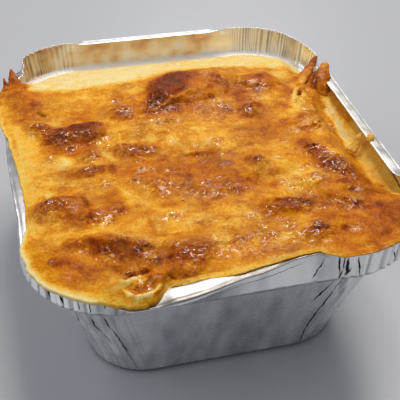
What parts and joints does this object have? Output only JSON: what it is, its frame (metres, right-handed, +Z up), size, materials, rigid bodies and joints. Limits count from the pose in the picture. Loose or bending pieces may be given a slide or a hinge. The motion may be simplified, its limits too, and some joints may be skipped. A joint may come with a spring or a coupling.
{
  "type": "foil tray meal",
  "caption": "Oven-baked layered meal with a blistered golden-brown crust, filling a deep rectangular aluminium foil tray with tapered walls, a ledge and a crimped upright flange.",
  "frame": {"origin": "middle of the tray's flat base, on the surface that it stands on", "axes": "+X to the tray's right, +Y to its back, along its longer side, +Z up"},
  "size_m": [0.1296, 0.154, 0.0636],
  "materials": {
    "foil": "thin rolled aluminium foil, semi-bright, softly crinkled, with pleated corners and baked-on golden fat stains inside the flange",
    "crust": null
  },
  "bodies": {
    "root": {"foil_tray": "foil", "baked_meal": "crust"}
  },
  "joints": []
}
